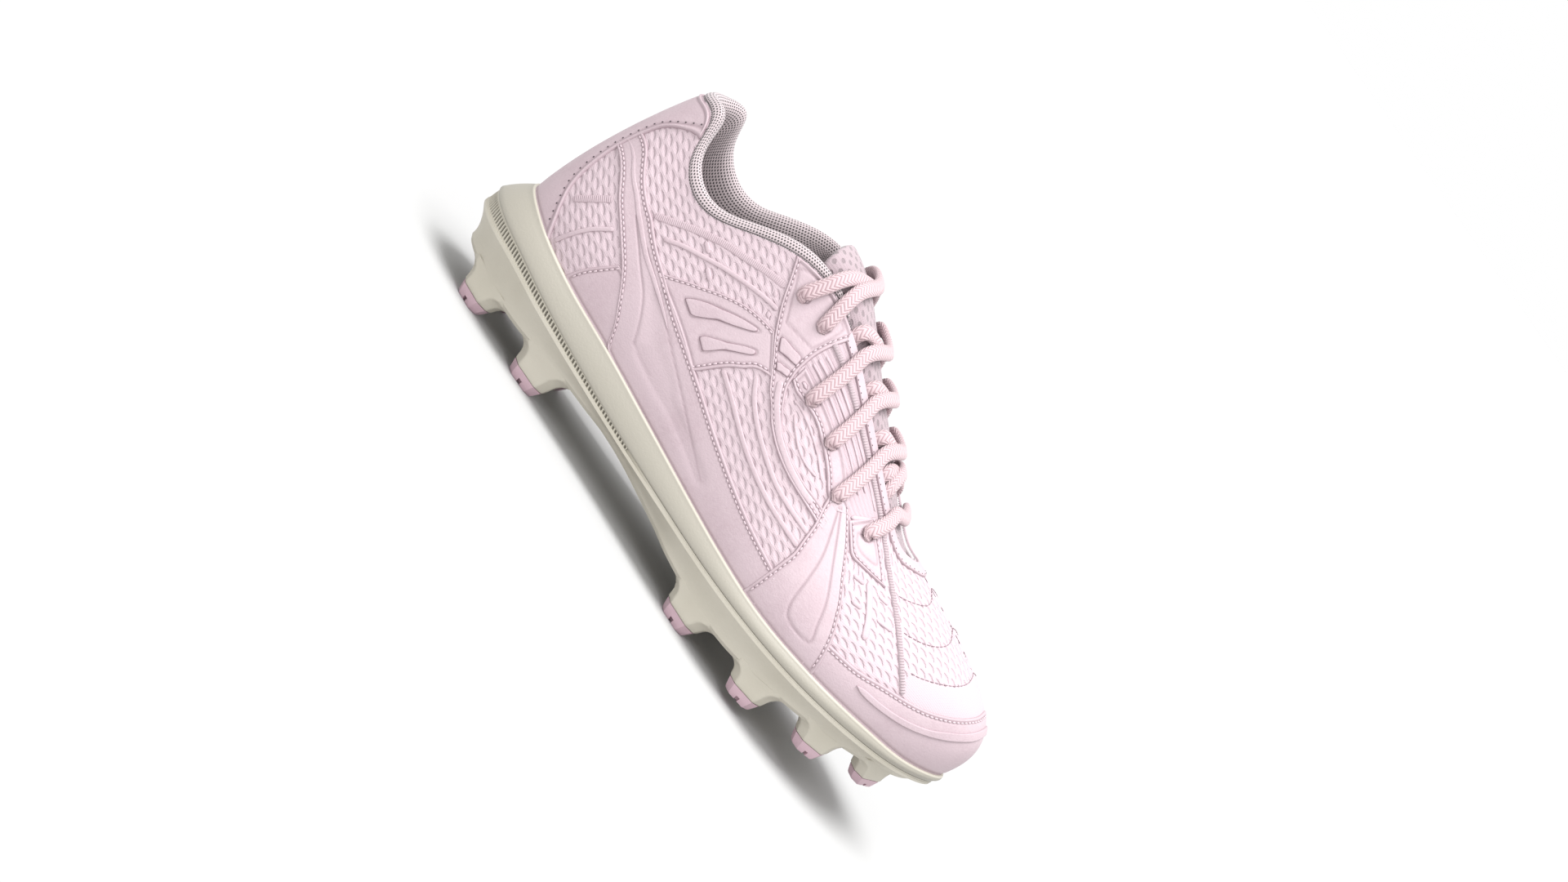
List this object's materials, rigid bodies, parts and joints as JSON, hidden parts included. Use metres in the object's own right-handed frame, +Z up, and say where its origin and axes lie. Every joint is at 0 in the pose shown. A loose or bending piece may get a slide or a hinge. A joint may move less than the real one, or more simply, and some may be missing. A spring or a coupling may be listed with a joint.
{
  "type": "softball cleat",
  "caption": "Low-cut softball cleat for the right foot: hollow mesh upper with stitched overlays, laced throat, padded collar, and a moulded studded sole.",
  "frame": {"origin": "middle of the shoe's footprint on the floor", "axes": "+X from the heel to the toe, +Y towards the inner (medial) side of the foot, +Z up from the floor"},
  "size_m": [0.2816, 0.0974, 0.1336],
  "materials": {
    "outsole": "matte moulded, fine grain",
    "midsole": "matte moulded foam with a skin",
    "stud_tip": "satin moulded",
    "mesh": "woven relief mesh",
    "overlay": "matte synthetic, stitched edges",
    "lining": "soft spacer mesh",
    "lace": "flat oval braid"
  },
  "bodies": {
    "root": {"outsole": "outsole", "midsole": "midsole", "insole": "lining", "upper": "mesh", "collar": "lining", "tongue": "mesh", "toe_cap": "overlay", "heel_counter": "overlay", "eyestay": "overlay", "foxing_lateral": "overlay", "foxing_medial": "overlay", "saddle_lateral": "overlay", "saddle_medial": "overlay", "forefoot_strap_lateral": "overlay", "forefoot_strap_medial": "overlay", "lace_crossing_1": "lace", "lace_crossing_2": "lace", "lace_crossing_3": "lace", "lace_crossing_4": "lace", "lace_crossing_5": "lace", "lace_bar": "lace", "stud_tip_heel_back_lateral": "stud_tip", "stud_tip_heel_back_medial": "stud_tip", "stud_tip_heel_front_lateral": "stud_tip", "stud_tip_heel_front_medial": "stud_tip", "stud_tip_ball_lateral": "stud_tip", "stud_tip_ball_medial": "stud_tip", "stud_tip_forefoot_lateral": "stud_tip", "stud_tip_forefoot_medial": "stud_tip", "stud_tip_toe_side_lateral": "stud_tip", "stud_tip_toe_side_medial": "stud_tip", "stud_tip_toe_lateral": "stud_tip", "stud_tip_toe_medial": "stud_tip"}
  },
  "joints": []
}
